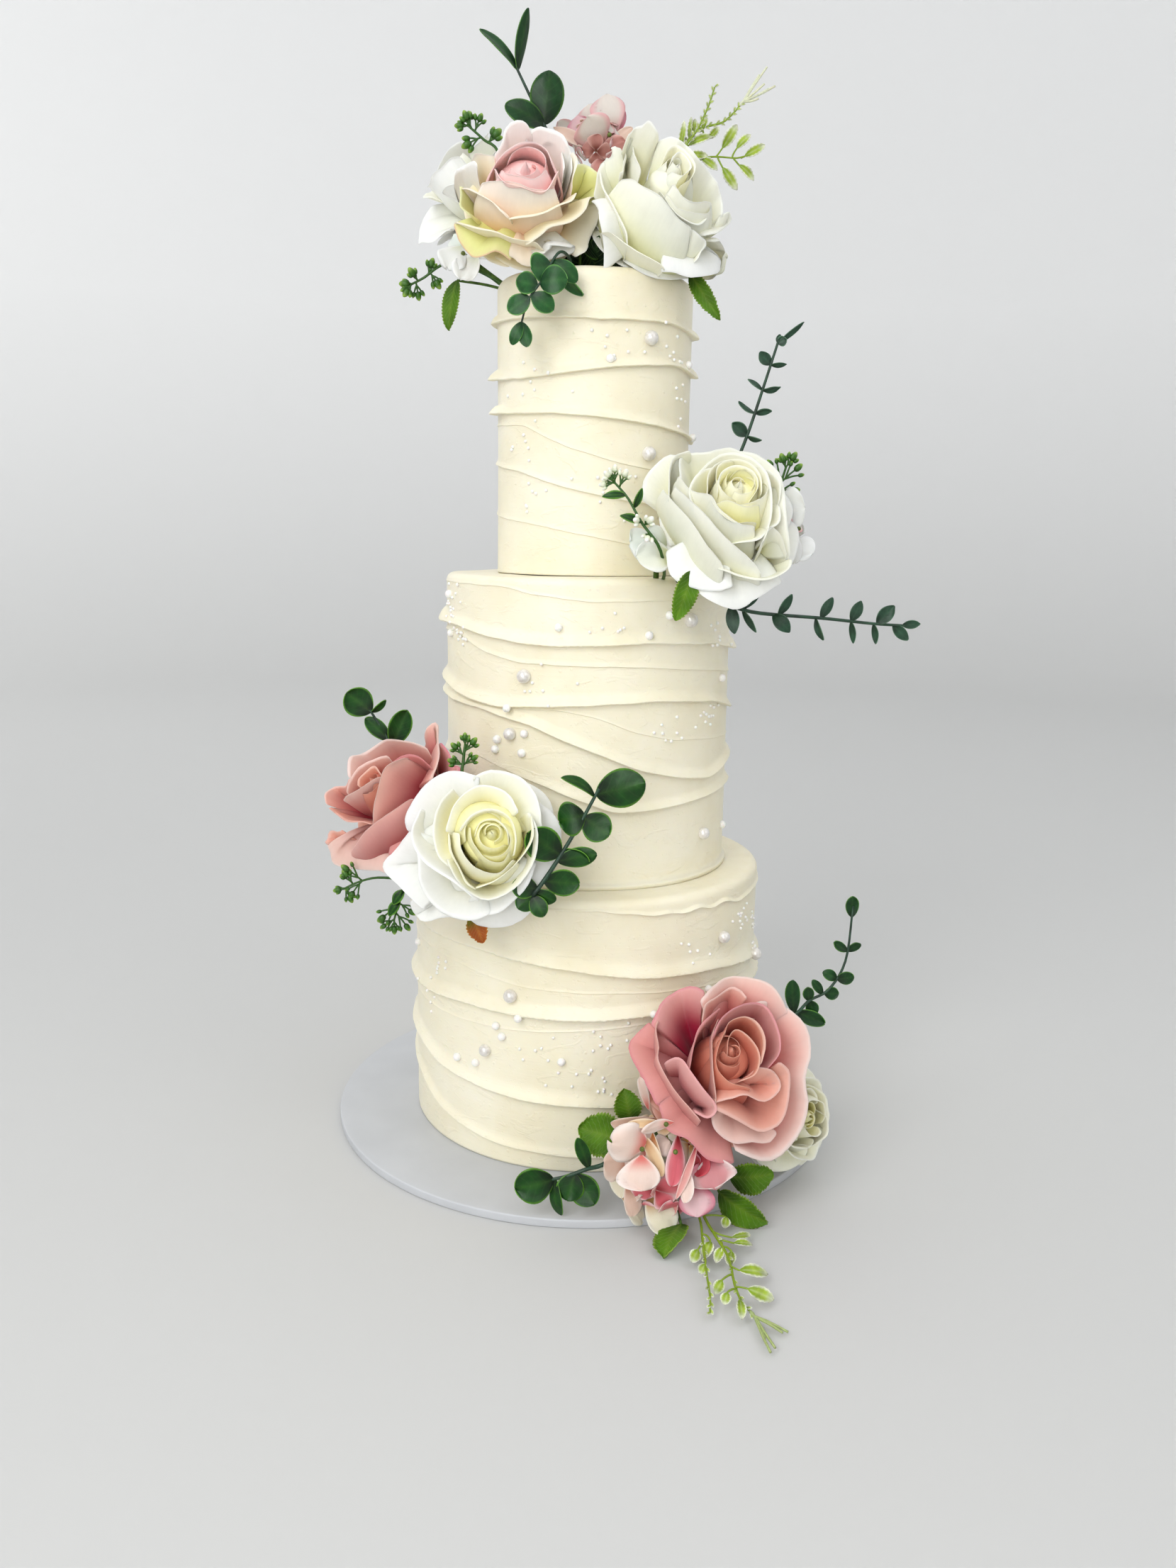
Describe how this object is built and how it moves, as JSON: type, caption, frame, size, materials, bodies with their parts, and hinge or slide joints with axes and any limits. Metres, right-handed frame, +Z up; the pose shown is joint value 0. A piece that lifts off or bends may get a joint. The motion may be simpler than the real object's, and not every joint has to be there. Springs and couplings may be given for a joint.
{
  "type": "tiered wedding cake",
  "caption": "Tall tiered buttercream wedding cake on a thin round board, spread in wavy ridges and dressed with silk roses, leaf sprays and sugar pearls.",
  "frame": {"origin": "centre of the board's underside", "axes": "+Z up through the tiers; -Y towards the front, where the flowers are; +X to the right of someone facing the cake"},
  "size_m": [0.3327, 0.4022, 0.6344],
  "materials": {
    "board_foil": "satin white embossed foil wrap",
    "buttercream": "soft satin ivory buttercream, spread with a palette knife",
    "pink_petal": "dusty pink silk petals, deeper pink at the edges",
    "blush_petal": "cream silk petals with a pink heart and yellow-green outer petals",
    "white_petal": "white silk petals, pale yellow in the depths",
    "coral_petal": "peach and coral pink silk florets",
    "rose_leaf": "bright green printed fabric leaves with serrated edges",
    "dark_leaf": "dark green glossy fabric leaf",
    "eucalyptus_leaf": "blue-green leaves with paler rims on dark stems",
    "green_bud": "moulded green buds on wiry stems",
    "pale_fern": "light green leaflets with cream serrated tips",
    "pearl": "pearly white sugar pearls"
  },
  "bodies": {
    "root": {"cake_board": "board_foil", "bottom_tier": "buttercream", "middle_tier": "buttercream", "top_tier": "buttercream", "pink_rose_front": "pink_petal", "white_rose_front": "white_petal", "white_rose_left": "white_petal", "pink_rose_left": "pink_petal", "white_rose_middle": "white_petal", "blush_rose_top": "blush_petal", "white_rose_top_right": "white_petal", "white_rose_top_left": "white_petal", "pink_hydrangea_front": "coral_petal", "white_hydrangea_middle_left": "white_petal", "white_hydrangea_middle_right": "white_petal", "pink_hydrangea_top": "coral_petal", "white_floret_top": "white_petal", "rose_leaf_top_left": "rose_leaf", "rose_leaf_top_right": "rose_leaf", "rose_leaf_middle": "rose_leaf", "rose_leaf_left": "rose_leaf", "rose_leaf_front_a": "rose_leaf", "rose_leaf_front_b": "rose_leaf", "rose_leaf_front_c": "rose_leaf", "rose_leaf_front_d": "rose_leaf", "rose_leaf_front_e": "rose_leaf", "dark_leaf_top": "dark_leaf", "tall_eucalyptus_top": "eucalyptus_leaf", "hanging_eucalyptus_top": "eucalyptus_leaf", "berry_sprig_top_upper": "green_bud", "berry_sprig_top_lower": "green_bud", "pale_spray_top": "pale_fern", "eucalyptus_middle_up": "eucalyptus_leaf", "eucalyptus_middle_right": "eucalyptus_leaf", "berry_sprig_middle_left": "green_bud", "berry_sprig_middle_right": "green_bud", "eucalyptus_left_up": "eucalyptus_leaf", "eucalyptus_left_right": "eucalyptus_leaf", "berry_sprig_left_up": "green_bud", "berry_sprig_left_low_a": "green_bud", "berry_sprig_left_low_b": "green_bud", "eucalyptus_front_left": "eucalyptus_leaf", "eucalyptus_front_up": "eucalyptus_leaf", "pale_fern_front": "pale_fern"}
  },
  "joints": []
}
